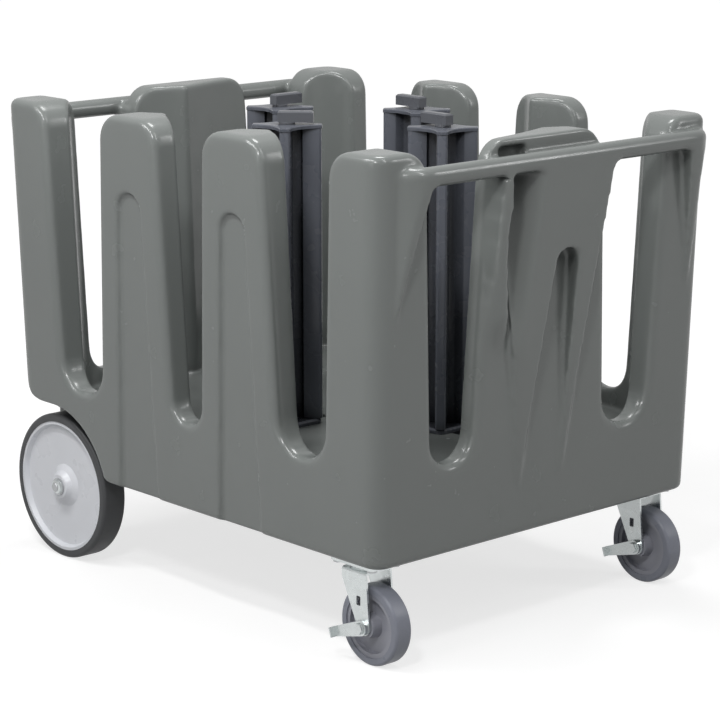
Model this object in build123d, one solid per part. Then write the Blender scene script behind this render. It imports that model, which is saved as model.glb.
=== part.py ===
from build123d import *
import os
from math import cos, pi, radians, sin, sqrt, tan

# Plate dispenser cart. Millimetres, +Z up, the floor is Z = 0.
# +X points to the swivel-caster end, -Y is the long side nearest in the reference view.
# The origin is the middle of the footprint.

# ---------------------------------------------------------------- body moulding
BODY_LENGTH = 905.0        # outside, at the lower edge
BODY_WIDTH = 708.0         # outside, at the lower edge
BODY_BOTTOM = 164.0
BODY_TOP = 794.0
WALL_DRAFT = 1.3           # degrees, outside walls lean outward
CORNER_RADIUS = 29.0       # plan radius of the outside corners
BOTTOM_EDGE_RADIUS = 9.0
DECK_HEIGHT = 277.0        # floor that the plates stand on
CAVITY_DRAFT = 1.6         # degrees, inside walls lean outward
SIDE_WALL = 31.0           # mean wall at the middle of a side slot, at the top
WELLS_OFFSET_Y = 7.0       # the wells sit off centre, towards +Y
END_WALL = 33.0            # wall at an end slot, at the top
WELL_RADIUS = 146.0        # corner wells
SIDE_PROW = 50.0           # how far a side upright's inner ridge stands in
SIDE_PROW_X = 131.0
END_PROW = 42.0
END_PROW_Y = 40.0
PROW_RADIUS = 7.0
CREST_RADIUS = 13.0        # outside rounding along tops and slots
INNER_CREST_RADIUS = 6.0

# slots between the uprights
SIDE_SLOT_DRAFT = 2.8      # degrees, each flank
END_SLOT_DRAFT = 2.6
SHOULDER_RADIUS = 44.0
SIDE_SLOT_PITCH = 280.0
OUTER_SLOT_WIDTH = 110.0   # outer side slots, at their rounded floor
CENTRE_SLOT_WIDTH = 74.0   # middle side slot, at its rounded floor
NARROW_SLOT_IN = 156.0     # +X end, its middle in from the -Y side; the other end is turned half round
NARROW_SLOT_WIDTH = 89.0
WIDE_SLOT_IN = 163.0       # +X end, its middle in from the +Y side
WIDE_SLOT_WIDTH = 103.0
SIDE_SLOT_FLOOR = 309.0
END_SLOT_FLOOR = 305.0

# arched panels in the faces of the middle side uprights
PANEL_X = 131.0
PANEL_DEPTH = 8.0
PANEL_ARCH_RADIUS = 30.0
PANEL_TOP = 670.0
PANEL_FOOT_WIDTH = 102.0

# handle across each end
HANDLE_DIAMETER = 31.0
HANDLE_DROP = 36.0         # axis below the top of the body
HANDLE_STAND = 29.0        # outermost face beyond the end wall
NEAR_RETURN = 48.0         # axis of the -Y return of the +X bar, in from the side wall
FAR_RETURN = 20.0          # axis of its +Y return
HANDLE_BEND = 44.0
WEB_RELIEF = 1.0           # web face behind the handle's outermost line
WEB_COVE = 12.0            # radius where a web's flank meets the bar
NEAR_WEB_INNER = 82.0      # corner web under the -Y return: in from the side, at its top
NEAR_WEB_OUTER = 14.0
NEAR_WEB_FOOT_IN = 18.0
FAR_WEB_INNER = 57.0       # corner web under the +Y return
FAR_WEB_OUTER = 4.0
FAR_WEB_FOOT_IN = 31.0
CORNER_WEB_FOOT = 508.0
CENTRE_WEB_HALF = 118.0
CENTRE_WEB_FOOT = 232.0
LEG_PITCH = 96.0           # between the pointed feet of the centre web's two legs
LEG_SHIFT = -10.0          # middle of the feet
LEG_TIP = 3.0              # width left at the point of a leg
RECESS_RADIUS = 24.5       # arched top of the recess between the legs
RECESS_TOP = 617.0
RECESS_Y = 23.0            # middle of the arch
RECESS_EXTRA = 8.0         # how far its floor sinks below the wall at the top
GROOVE_OUTER = 107.0       # finger groove beside the centre web, at its top
GROOVE_INNER = 50.0
GROOVE_CENTRE = 62.0
GROOVE_FOOT = 450.0
GROOVE_TOP = 782.0
GROOVE_FLOOR_X = 443.0     # from the middle
LEDGE_HEIGHT = 768.0       # above it the centre upright steps back
LEDGE_DEPTH = 12.0
LEDGE_WIDTH = 300.0

# wheel pocket
WHEEL_INSET = 84.5         # axle, in from the end of the body
WHEEL_RADIUS = 127.0
POCKET_RADIUS = 147.0
POCKET_DEPTH = 74.0        # in from the side of the body
POCKET_NOSE_RADIUS = 18.0

# deck tracks for the dividing towers
TRACK_WIDTH = 22.0
TRACK_DEPTH = 10.0
TRACK_END_GAP = 1.0        # beyond the foot's tongues at the end of the travel

# rear wheels on a through axle
WHEEL_TREAD_WIDTH = 46.0
TYRE_INSET = 11.0          # outer face of the tyre, in from the side of the body
DISC_RADIUS = 113.5
DISC_BORE = 11.0
RIM_DEPTH = 9.0            # how far the dished face sits behind the rim lip
RIM_LIP = 5.0
HUB_RADIUS = 27.0
AXLE_RADIUS = 8.0
AXLE_FIT = 0.05
AXLE_TAIL = 10.0           # axle end beyond the hub
HUB_STAND = 3.0            # hub face beyond the tyre face
HUB_INNER_STAND = 4.0
HUB_GAP = 0.4
TYRE_EDGE_RADIUS = 6.0
WASHER_RADIUS = 15.0
WASHER_THICKNESS = 2.0
NUT_RADIUS = 12.5
BRACKET_INSET = 122.0      # middle of a bracket, in from the side of the body
BRACKET_LENGTH = 70.0
BRACKET_WIDTH = 74.0
BRACKET_PLATE = 3.0
SCREW_RADIUS = 4.0
SCREW_LENGTH = 24.0
SCREW_PITCH_X = 54.0
SCREW_PITCH_Y = 24.0

# swivel casters
CASTER_INSET_X = 70.5      # kingpin, in from the end of the body
CASTER_INSET_Y = 44.0      # and in from its side
CASTER_TRAIL = 22.0
CASTER_RADIUS = 63.5
CASTER_WIDTH = 32.0
CASTER_CORE_RADIUS = 51.0
CASTER_RIM_RADIUS = 44.0
CASTER_RIM_WIDTH = 28.0
CASTER_WEB_WIDTH = 12.0
CASTER_HUB_RADIUS = 17.0
CASTER_HUB_WIDTH = 44.0
CASTER_BOLT_RADIUS = 5.0
CASTER_PLATE_LENGTH = 98.0
CASTER_PLATE_WIDTH = 68.0
CASTER_PLATE_THICKNESS = 5.0
PLATE_BOLT_PITCH_X = 76.0
PLATE_BOLT_PITCH_Y = 48.0
RACE_RADIUS = 26.0
RACE_HEIGHT = 8.0
RACE_GAP = 0.4
FORK_INNER_WIDTH = 47.0
FORK_PLATE = 3.5
FORK_TOP_WIDTH = 54.0
FORK_SHOULDER = 136.0      # height where the legs start to taper
FORK_FOOT_RADIUS = 13.0
KINGPIN_RADIUS = 6.0
PIN_FIT = 0.05
BRAKE_GAP = 0.3            # brake cam off the fork leg
BRAKE_CAM_RADIUS = 12.0
BRAKE_CAM_THICKNESS = 3.0
LEVER_PLATE = 3.0
LEVER_LENGTH = 70.5        # from the wheel bolt to the lever's tip
LEVER_DROOP = 18.2         # degrees below level when released
LEVER_TIP_RADIUS = 8.0
LEVER_LIP = 9.0            # how far the tread lip stands out
LEVER_LIP_THICKNESS = 2.5
BOLT_HEAD_GAP = 0.4        # bolt head off the lever
BOLT_HEAD_RADIUS = 9.0
BOLT_HEAD_HEIGHT = 5.0
NUT_HEIGHT = 6.0

# dividing towers
NEAR_TOWER_X = 3.0
NEAR_TOWER_Y = -139.0
FAR_TOWER_X = 6.0
FAR_TOWER_Y = 148.0
REAR_TOWER_X = -175.0
REAR_TOWER_Y = -2.0
FRONT_TOWER_X = 196.0
FRONT_TOWER_Y = 26.0
SIDE_TRAVEL_IN = 32.0      # near and far towers, towards the middle
SIDE_TRAVEL_OUT = 48.0
REAR_TRAVEL_IN = 47.0
REAR_TRAVEL_OUT = 90.0
FRONT_TRAVEL_IN = 60.0
FRONT_TRAVEL_OUT = 75.0
TOWER_REACH = 56.0
TOWER_ARM = 15.0
TOWER_FILLET = 9.0
SLIDE_GAP = 0.2            # foot above the deck
FOOT_SIZE = 84.0
FOOT_HEIGHT = 8.0
TONGUE_FIT = 0.3           # each side, in the deck track
TONGUE_LENGTH = 16.0
TONGUE_OFFSET = 30.0
TONGUE_DEPTH = 7.0
TOWER_TOP = 770.0
CAP_HEIGHT = 6.0
CAP_WAIST = 34.0
CAP_TIP_WIDTH = 18.0
ROD_RADIUS = 6.0
ROD_FIT = 0.3
KEY_GAP = 0.4              # turning handle above the cap
KEY_LENGTH = 58.0
KEY_OFFSET = 14.0          # middle of the handle, out from the tower's axis
KEY_WIDTH = 17.0
KEY_HEIGHT = 18.0
KEY_CHAMFER = 2.5
COLLAR_RADIUS = 13.0
COLLAR_HEIGHT = 3.0
CAM_LENGTH = 20.6
CAM_WIDTH = 15.0
CAM_HEIGHT = 6.0
CAM_FLOOR_GAP = 1.0

# places that follow from the sizes above
HALF_WIDTH = BODY_WIDTH / 2
HANDLE_HEIGHT = BODY_TOP - HANDLE_DROP
WHEEL_X = WHEEL_INSET - BODY_LENGTH / 2
WHEEL_OUTER_Y = HALF_WIDTH - TYRE_INSET
CASTER_X = BODY_LENGTH / 2 - CASTER_INSET_X
CASTER_Y = HALF_WIDTH - CASTER_INSET_Y


def lean(z):
    """How far the outside walls have leaned out at height z."""
    return (z - BODY_BOTTOM) * tan(radians(WALL_DRAFT))


def half_length(z):
    """Half the outside length at height z."""
    return BODY_LENGTH / 2 + lean(z)


def half_width(z):
    """Half the outside width at height z."""
    return BODY_WIDTH / 2 + lean(z)


def envelope(inset=0.0):
    """The drafted outside of the body, or the same drawn in by an inset."""
    plan = Rectangle(2 * (half_length(BODY_TOP) - inset), 2 * (half_width(BODY_TOP) - inset))
    block = extrude(plan, BODY_TOP - BODY_BOTTOM, taper=WALL_DRAFT)
    block = Pos(0, 0, BODY_TOP) * mirror(block, about=Plane.XY)
    corners = [e for e in block.edges() if e.bounding_box().size.Z > 1]
    return fillet(corners, CORNER_RADIUS - inset)


def bow(along, inward):
    """Radius of an arc that leaves a wall smoothly and stands in by a given amount."""
    return (along ** 2 + inward ** 2) / (2 * inward)


def cavity():
    """The plate wells: round bays that meet in ridges behind the uprights."""
    well_x = half_length(BODY_TOP) - END_WALL
    well_y = half_width(BODY_TOP) - SIDE_WALL
    cx = well_x - WELL_RADIUS
    cy = well_y - WELL_RADIUS
    diagonal = WELL_RADIUS * cos(pi / 4)
    tip_x = SIDE_PROW_X
    tip_y = well_y - SIDE_PROW
    end_tip = (well_x - END_PROW, END_PROW_Y)
    side_bow = bow(cx - tip_x, SIDE_PROW)
    half = [
        ThreePointArc((cx, -well_y), (cx + diagonal, -cy - diagonal), (well_x, -cy)),
        RadiusArc((well_x, -cy), end_tip, -bow(cy + END_PROW_Y, END_PROW)),
        RadiusArc(end_tip, (well_x, cy), -bow(cy - END_PROW_Y, END_PROW)),
        ThreePointArc((well_x, cy), (cx + diagonal, cy + diagonal), (cx, well_y)),
        RadiusArc((cx, well_y), (tip_x, tip_y), -side_bow),
        ThreePointArc((tip_x, tip_y), (0, well_y), (-tip_x, tip_y)),
        RadiusArc((-tip_x, tip_y), (-cx, well_y), -side_bow),
    ]
    ring = half + [edge.rotate(Axis.Z, 180) for edge in half]
    plan = make_face(ring)
    tips = [v for v in plan.vertices()
            if abs(abs(v.X) - tip_x) < 1 or abs(abs(v.X) - end_tip[0]) < 1]
    plan = fillet(tips, PROW_RADIUS)
    wells = mirror(extrude(plan, BODY_TOP - DECK_HEIGHT, taper=CAVITY_DRAFT), about=Plane.XY)
    return Pos(0, WELLS_OFFSET_Y, BODY_TOP) * (wells + extrude(plan, 5))


def slot_face(centre, width, floor, draft):
    """Outline of one slot: a rounded floor and two flanks that lean apart."""
    radius = width / 2
    lean_out = radians(draft)
    hip_x = radius * cos(lean_out)
    hip_z = floor + radius - radius * sin(lean_out)
    top = BODY_TOP + 5
    top_x = hip_x + (top - hip_z) * tan(lean_out)
    flanks = Polyline((-hip_x, hip_z), (-top_x, top), (top_x, top), (hip_x, hip_z))
    bowl = ThreePointArc((hip_x, hip_z), (0, floor), (-hip_x, hip_z))
    return Pos(centre, 0) * make_face([*flanks.edges(), bowl])


def cut_slots(body):
    """Cut the ten slots and round the shoulders of the uprights."""
    for centre in (-SIDE_SLOT_PITCH, 0, SIDE_SLOT_PITCH):
        width = OUTER_SLOT_WIDTH if centre else CENTRE_SLOT_WIDTH
        face = slot_face(centre, width, SIDE_SLOT_FLOOR, SIDE_SLOT_DRAFT)
        body -= extrude(Plane.XZ * face, BODY_WIDTH, both=True)
    for centre, width in ((NARROW_SLOT_IN - HALF_WIDTH, NARROW_SLOT_WIDTH),
                          (HALF_WIDTH - WIDE_SLOT_IN, WIDE_SLOT_WIDTH)):
        slot = extrude(Plane.YZ * slot_face(centre, width, END_SLOT_FLOOR, END_SLOT_DRAFT), BODY_LENGTH)
        body -= slot
        body -= Rot(0, 0, 180) * slot
    return body


def shoulder_edges(body):
    """The short edges where a slot flank meets the top."""
    top_edges = [e for e in body.edges().filter_by(GeomType.LINE)
                 if abs(e.center().Z - BODY_TOP) < 0.01]
    wall_x, wall_y = half_length(BODY_TOP), half_width(BODY_TOP)
    return [e for e in top_edges
            if (abs(e.tangent_at(0).Y) > 0.999 and abs(e.center().X) < wall_x - 1
                and abs(e.center().Y) > wall_y / 2)
            or (abs(e.tangent_at(0).X) > 0.999 and abs(e.center().Y) < wall_y - 1
                and abs(e.center().X) > 0.75 * wall_x)]


def on_outside(point):
    """True for a point that lies on the outside walls."""
    gap_x = half_length(point.Z) - abs(point.X)
    gap_y = half_width(point.Z) - abs(point.Y)
    return min(gap_x, gap_y) < 0.05 or (gap_x < CORNER_RADIUS / 2 and gap_y < CORNER_RADIUS / 2)


def crest_edges(body, outer, wells):
    """The outer or inner edge loop that runs along the tops and round the slots."""
    low = SIDE_SLOT_FLOOR - 20
    found = []
    for edge in body.edges():
        if edge.bounding_box().min.Z < low:
            continue
        middle = edge.position_at(0.5)
        outside = on_outside(middle)
        if outer and outside:
            found.append(edge)
        if not outer and not outside and min(w.distance_to(middle) for w in wells) < 0.02:
            found.append(edge)
    return found


def bar_reach():
    """The bar's outermost face, from the middle of the cart."""
    return half_length(HANDLE_HEIGHT) + HANDLE_STAND


def bar_ends():
    """Y of the two returns of the +X bar."""
    wall = half_width(HANDLE_HEIGHT)
    return NEAR_RETURN - wall, wall - FAR_RETURN


def web_outline(tops, feet, foot):
    """End-view outline of a web that widens upward, with a cove under the bar at each side."""
    under = HANDLE_HEIGHT - HANDLE_DIAMETER / 2 + WEB_RELIEF
    start = under - WEB_COVE
    corner = WEB_COVE * cos(pi / 4)
    edges = [Line((feet[0], foot), (feet[1], foot))]
    crown = []
    for top, base, out in ((tops[0], feet[0], -1), (tops[1], feet[1], 1)):
        y = base + (top - base) * (start - foot) / (HANDLE_HEIGHT - foot)
        edge_y = y + out * WEB_COVE
        edges.append(Line((base, foot), (y, start)))
        edges.append(ThreePointArc((y, start), (edge_y - out * corner, start + corner), (edge_y, under)))
        edges.append(Line((edge_y, under), (edge_y, HANDLE_HEIGHT)))
        crown.append((edge_y, HANDLE_HEIGHT))
    return make_face([*edges, Line(*crown)])


def web(outline, foot):
    """A web under the handle: an end-view outline on a face that slopes into the wall."""
    face_x = bar_reach() - WEB_RELIEF
    inner_x = half_length(foot) - 12
    side = Polyline((inner_x, foot), (half_length(foot), foot), (face_x, HANDLE_HEIGHT),
                    (inner_x, HANDLE_HEIGHT), close=True)
    slope = extrude(Plane.XZ * make_face(side), BODY_WIDTH, both=True)
    seen = extrude(Plane.YZ.offset(inner_x) * outline, 80)
    near, far = bar_ends()
    plan = Pos(0, (near + far) / 2) * RectangleRounded(2 * face_x, far - near + HANDLE_DIAMETER,
                                                       HANDLE_BEND + HANDLE_DIAMETER / 2)
    return slope & seen & extrude(plan, BODY_TOP)


def leg_feet():
    """Y of the outer edge of each leg's foot."""
    return LEG_SHIFT - LEG_PITCH / 2, LEG_SHIFT + LEG_PITCH / 2


def webs():
    """The centre web and the two corner webs of the +X end."""
    half = CENTRE_WEB_HALF
    centre = web_outline((-half, half), leg_feet(), CENTRE_WEB_FOOT)
    near_foot = NEAR_WEB_FOOT_IN - HALF_WIDTH
    near = web_outline((NEAR_WEB_OUTER - HALF_WIDTH, NEAR_WEB_INNER - HALF_WIDTH),
                       (near_foot - 2, near_foot), CORNER_WEB_FOOT)
    far_foot = HALF_WIDTH - FAR_WEB_FOOT_IN
    far = web_outline((HALF_WIDTH - FAR_WEB_INNER, HALF_WIDTH - FAR_WEB_OUTER),
                      (far_foot, far_foot + 2), CORNER_WEB_FOOT)
    return [web(centre, CENTRE_WEB_FOOT), web(near, CORNER_WEB_FOOT), web(far, CORNER_WEB_FOOT)]


def recess():
    """The arch-topped recess that parts the centre web into two legs."""
    foot = CENTRE_WEB_FOOT
    spring = RECESS_TOP - RECESS_RADIUS
    left, right = leg_feet()
    low, high = RECESS_Y - RECESS_RADIUS, RECESS_Y + RECESS_RADIUS
    sides = Polyline((low, spring), (left + LEG_TIP, foot - 1), (right - LEG_TIP, foot - 1), (high, spring))
    arch = ThreePointArc((high, spring), (RECESS_Y, RECESS_TOP), (low, spring))
    seen = extrude(Plane.YZ * make_face([*sides.edges(), arch]), BODY_LENGTH)
    floor = Polyline((half_length(foot), foot - 2), (half_length(RECESS_TOP) - RECESS_EXTRA, RECESS_TOP + 1),
                     (BODY_LENGTH, RECESS_TOP + 1), (BODY_LENGTH, foot - 2), close=True)
    return seen & extrude(Plane.XZ * make_face(floor), BODY_WIDTH, both=True)


def finger_groove():
    """The groove behind the handle, beside the centre web."""
    outline = Polyline((-GROOVE_OUTER, GROOVE_TOP), (-GROOVE_CENTRE - 4, GROOVE_FOOT),
                       (-GROOVE_CENTRE + 4, GROOVE_FOOT), (-GROOVE_INNER, GROOVE_TOP), close=True)
    return extrude(Plane.YZ.offset(GROOVE_FLOOR_X) * make_face(outline), 80)


def ledge():
    """The step at the top of the centre upright, behind the handle."""
    x = half_length(BODY_TOP) - LEDGE_DEPTH
    return Pos(x, 0, LEDGE_HEIGHT) * Box(80, LEDGE_WIDTH, 80, align=(Align.MIN, Align.CENTER, Align.MIN))


def handle():
    """The bar across the +X end, returning into both corner posts."""
    x = bar_reach() - HANDLE_DIAMETER / 2
    near, far = bar_ends()
    path = Polyline((x - 60, near), (x, near), (x, far), (x - 60, far))
    path = fillet(path.vertices().filter_by(lambda v: abs(v.X - x) < 1), HANDLE_BEND)
    path = Pos(0, 0, HANDLE_HEIGHT) * path
    return sweep(Plane(origin=path @ 0, z_dir=path % 0) * Circle(HANDLE_DIAMETER / 2), path=path)


def wheel_pockets():
    """Arched pockets over the rear wheels, open to the rear."""
    cut_x = sqrt(POCKET_RADIUS ** 2 - (BODY_BOTTOM - WHEEL_RADIUS) ** 2)
    arch = Pos(WHEEL_X, WHEEL_RADIUS) * Circle(POCKET_RADIUS)
    arch += Pos(WHEEL_X, WHEEL_RADIUS) * Rectangle(2 * POCKET_RADIUS, POCKET_RADIUS,
                                                   align=(Align.MAX, Align.MIN))
    arch += Pos(WHEEL_X, BODY_BOTTOM) * Rectangle(3 * POCKET_RADIUS, POCKET_RADIUS,
                                                  align=(Align.CENTER, Align.MAX))
    nose = [v for v in arch.vertices() if abs(v.X - WHEEL_X - cut_x) < 0.5]
    arch = fillet(nose, POCKET_NOSE_RADIUS)
    far = extrude(Plane.XZ.offset(-BODY_WIDTH) * arch, HALF_WIDTH + POCKET_DEPTH)
    return far + mirror(far, about=Plane.XZ)


def panels():
    """Arched recesses in the faces of the middle side uprights."""
    half_foot = PANEL_FOOT_WIDTH / 2
    spring = PANEL_TOP - PANEL_ARCH_RADIUS
    legs = Polyline((-PANEL_ARCH_RADIUS, spring), (-half_foot, BODY_BOTTOM - 1),
                    (half_foot, BODY_BOTTOM - 1), (PANEL_ARCH_RADIUS, spring))
    arch = ThreePointArc((PANEL_ARCH_RADIUS, spring), (0, PANEL_TOP), (-PANEL_ARCH_RADIUS, spring))
    face = make_face([*legs.edges(), arch])
    pair = [extrude(Plane.XZ * Pos(side * PANEL_X, 0) * face, BODY_WIDTH, both=True)
            for side in (-1, 1)]
    return (pair[0] + pair[1]) - envelope(PANEL_DEPTH)


def towers():
    """Each tower's place, track direction, travel along it, and where its handle points."""
    return {
        "near": ((NEAR_TOWER_X, NEAR_TOWER_Y), 90, (-SIDE_TRAVEL_OUT, SIDE_TRAVEL_IN), 45),
        "far": ((FAR_TOWER_X, FAR_TOWER_Y), 90, (-SIDE_TRAVEL_IN, SIDE_TRAVEL_OUT), 180),
        "rear": ((REAR_TOWER_X, REAR_TOWER_Y), 0, (-REAR_TRAVEL_OUT, REAR_TRAVEL_IN), 90),
        "front": ((FRONT_TOWER_X, FRONT_TOWER_Y), 0, (-FRONT_TRAVEL_IN, FRONT_TRAVEL_OUT), 180),
    }


def tracks():
    """The channels in the deck that the towers slide along, one to a tower."""
    end = TONGUE_OFFSET + TONGUE_LENGTH / 2 + TRACK_END_GAP + TRACK_WIDTH / 2
    found = []
    for (x, y), direction, (low, high), _ in towers().values():
        slot = Pos((low + high) / 2, 0) * SlotOverall(high - low + 2 * end, TRACK_WIDTH)
        found.append(Pos(x, y, DECK_HEIGHT) * extrude(Rot(0, 0, direction) * slot, -TRACK_DEPTH))
    return found


def body_moulding():
    """The whole one-piece body with its handles."""
    wells = cavity()
    shell = [f for f in wells.faces() if f.bounding_box().size.Z > BODY_TOP - DECK_HEIGHT - 10]
    body = envelope()
    body = fillet(body.edges().group_by(Axis.Z)[0], BOTTOM_EDGE_RADIUS)
    body = cut_slots(body)
    body = fillet(shoulder_edges(body), SHOULDER_RADIUS)
    body = fillet(crest_edges(body, True, shell), CREST_RADIUS)
    body -= wells
    body = fillet(crest_edges(body, False, shell), INNER_CREST_RADIUS)
    body -= wheel_pockets()
    body -= panels()
    for track in tracks():
        body -= track
    for turn in (Rot(0, 0, 0), Rot(0, 0, 180)):
        body -= turn * ledge()
        for piece in webs():
            body += turn * piece
        body -= turn * recess()
        body -= turn * finger_groove()
        body += turn * handle()
    return body


def turned_ring(points):
    """A ring turned about the Y axis from (radius, y) points."""
    return revolve(make_face(Polyline(*points, close=True)), Axis.Y)


def mirrored_pair(shape):
    """The shape and its mirror image across the middle of the cart."""
    return [shape, mirror(shape, about=Plane.XZ)]


def rear_wheel():
    """Disc, tyre and bushing of the +Y rear wheel, about the axle."""
    inner_y = WHEEL_OUTER_Y - WHEEL_TREAD_WIDTH
    hub_in = inner_y - HUB_INNER_STAND
    hub_out = WHEEL_OUTER_Y + HUB_STAND
    lip = DISC_RADIUS - RIM_LIP
    dish_out = WHEEL_OUTER_Y - RIM_DEPTH
    dish_in = inner_y + RIM_DEPTH
    disc = turned_ring([
        (DISC_BORE, hub_in), (HUB_RADIUS, hub_in), (HUB_RADIUS, dish_in + 4),
        (lip - 12, dish_in), (lip, inner_y + 1), (DISC_RADIUS, inner_y + 1),
        (DISC_RADIUS, WHEEL_OUTER_Y - 1), (lip, WHEEL_OUTER_Y - 1),
        (lip - 4, dish_out), (HUB_RADIUS + 10, dish_out - 3), (HUB_RADIUS, dish_out + 3),
        (HUB_RADIUS - 5, hub_out - 2), (HUB_RADIUS - 7, hub_out), (DISC_BORE, hub_out)])
    tyre = turned_ring([(DISC_RADIUS, inner_y), (WHEEL_RADIUS, inner_y),
                        (WHEEL_RADIUS, WHEEL_OUTER_Y), (DISC_RADIUS, WHEEL_OUTER_Y)])
    tread_edges = [e for e in tyre.edges().filter_by(GeomType.CIRCLE)
                   if abs(e.radius - WHEEL_RADIUS) < 0.01]
    tyre = fillet(tread_edges, TYRE_EDGE_RADIUS)
    bore = AXLE_RADIUS + AXLE_FIT
    bushing = turned_ring([(bore, hub_in), (DISC_BORE, hub_in), (DISC_BORE, hub_out),
                           (bore, hub_out)])
    return {"disc": disc, "tyre": tyre, "bushing": bushing}


def rear_axle():
    """The axle rod with its washers and push nuts, about the axle."""
    hub_in = WHEEL_OUTER_Y - WHEEL_TREAD_WIDTH - HUB_INNER_STAND
    hub_out = WHEEL_OUTER_Y + HUB_STAND
    axle = Rot(90, 0, 0) * Cylinder(AXLE_RADIUS, 2 * (hub_out + AXLE_TAIL))
    axle = chamfer(axle.edges().filter_by(GeomType.CIRCLE), 1.5)
    washers = []
    for start in (hub_in - HUB_GAP - WASHER_THICKNESS, hub_out + HUB_GAP):
        end = start + WASHER_THICKNESS
        washers += mirrored_pair(turned_ring([
            (AXLE_RADIUS, start), (WASHER_RADIUS, start), (WASHER_RADIUS, end), (AXLE_RADIUS, end)]))
    seat = hub_out + HUB_GAP + WASHER_THICKNESS
    nuts = mirrored_pair(turned_ring([
        (AXLE_RADIUS, seat), (NUT_RADIUS, seat), (NUT_RADIUS - 1, seat + 3.5),
        (AXLE_RADIUS, seat + 5)]))
    return {"rear_axle": axle, "axle_washers": Compound(children=washers),
            "axle_push_nuts": Compound(children=nuts)}


def axle_brackets():
    """Two brackets under the body that carry the axle, and their screws."""
    rise = BODY_BOTTOM - WHEEL_RADIUS
    cheek = Circle(AXLE_RADIUS + 9)
    cheek += Rectangle(2 * (AXLE_RADIUS + 9), rise, align=(Align.CENTER, Align.MIN))
    cheek -= Circle(AXLE_RADIUS)
    bracket = Pos(0, 0, rise) * Box(BRACKET_WIDTH, BRACKET_LENGTH, BRACKET_PLATE,
                                    align=(Align.CENTER, Align.CENTER, Align.MAX))
    for offset in (6 - BRACKET_LENGTH / 2, BRACKET_LENGTH / 2 - 6):
        bracket += Pos(0, offset, 0) * extrude(Plane.XZ * cheek, 2.5, both=True)
    screw = Cylinder(SCREW_RADIUS, SCREW_LENGTH, align=(Align.CENTER, Align.CENTER, Align.MIN))
    screw += extrude(RegularPolygon(2 * SCREW_RADIUS, 6), -SCREW_RADIUS)
    spots = [Pos(dx, dy, rise - BRACKET_PLATE)
             for dx in (-SCREW_PITCH_X / 2, SCREW_PITCH_X / 2)
             for dy in (-SCREW_PITCH_Y / 2, SCREW_PITCH_Y / 2)]
    for spot in spots:
        bracket -= spot * Cylinder(SCREW_RADIUS, 4 * BRACKET_PLATE)
    bracket_y = HALF_WIDTH - BRACKET_INSET
    sides = [Pos(0, -bracket_y, 0), Pos(0, bracket_y, 0)]
    return {"axle_brackets": Compound(children=[side * bracket for side in sides]),
            "bracket_screws": Compound(children=[side * spot * screw for side in sides for spot in spots])}


def fork():
    """The pressed fork of a swivel caster, about the kingpin."""
    top = BODY_BOTTOM - CASTER_PLATE_THICKNESS - RACE_HEIGHT
    outer_width = FORK_INNER_WIDTH + 2 * FORK_PLATE
    deep = top - CASTER_RADIUS + FORK_FOOT_RADIUS + 5
    section = Rectangle(outer_width, deep, align=(Align.CENTER, Align.MAX))
    section = fillet(section.vertices().group_by(Axis.Y)[-1], 3 * FORK_PLATE / 2)
    hollow = Rectangle(FORK_INNER_WIDTH, deep, align=(Align.CENTER, Align.MAX))
    hollow = Pos(0, -FORK_PLATE) * fillet(hollow.vertices().group_by(Axis.Y)[-1], FORK_PLATE / 2)
    channel = extrude(Plane.YZ * Pos(0, top) * (section - hollow), 100, both=True)
    shoulder = Pos(0, top) * Rectangle(FORK_TOP_WIDTH, top - FORK_SHOULDER,
                                       align=(Align.CENTER, Align.MAX))
    foot = Pos(CASTER_TRAIL, CASTER_RADIUS) * Circle(FORK_FOOT_RADIUS)
    side = make_hull(shoulder.edges() + foot.edges())
    side -= Pos(CASTER_TRAIL, CASTER_RADIUS) * Circle(CASTER_BOLT_RADIUS)
    side -= Pos(CASTER_TRAIL / 2, 104) * RectangleRounded(9, 15, 2)
    body = channel & extrude(Plane.XZ * side, outer_width, both=True)
    return body - Pos(0, 0, top) * Cylinder(KINGPIN_RADIUS + PIN_FIT, 4 * FORK_PLATE)


def caster_mount():
    """Top plate with the upper race, the kingpin, and the plate's bolts."""
    plate_z = BODY_BOTTOM - CASTER_PLATE_THICKNESS
    half_race = (RACE_HEIGHT - RACE_GAP) / 2
    plate = Pos(0, 0, plate_z) * extrude(
        RectangleRounded(CASTER_PLATE_LENGTH, CASTER_PLATE_WIDTH, 9), CASTER_PLATE_THICKNESS)
    plate += Pos(0, 0, plate_z - half_race) * Cone(
        RACE_RADIUS - 3, RACE_RADIUS, half_race, align=(Align.CENTER, Align.CENTER, Align.MIN))
    crown_low = plate_z - RACE_HEIGHT - FORK_PLATE
    kingpin = Pos(0, 0, crown_low - RACE_GAP) * Cylinder(
        KINGPIN_RADIUS, BODY_BOTTOM - crown_low + RACE_GAP, align=(Align.CENTER, Align.CENTER, Align.MIN))
    kingpin += Pos(0, 0, crown_low - RACE_GAP) * extrude(RegularPolygon(10, 6), -6)
    plate -= Pos(0, 0, BODY_BOTTOM) * Cylinder(KINGPIN_RADIUS, 60)
    spots = [Pos(dx, dy, plate_z)
             for dx in (-PLATE_BOLT_PITCH_X / 2, PLATE_BOLT_PITCH_X / 2)
             for dy in (-PLATE_BOLT_PITCH_Y / 2, PLATE_BOLT_PITCH_Y / 2)]
    bolt = Cylinder(SCREW_RADIUS, SCREW_LENGTH, align=(Align.CENTER, Align.CENTER, Align.MIN))
    bolt += extrude(RegularPolygon(2 * SCREW_RADIUS, 6), -SCREW_RADIUS)
    for spot in spots:
        plate -= spot * Cylinder(SCREW_RADIUS, 4 * CASTER_PLATE_THICKNESS)
    bolts = Compound(children=[spot * bolt for spot in spots])
    return {"plate": plate, "kingpin": kingpin}, bolts


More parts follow.
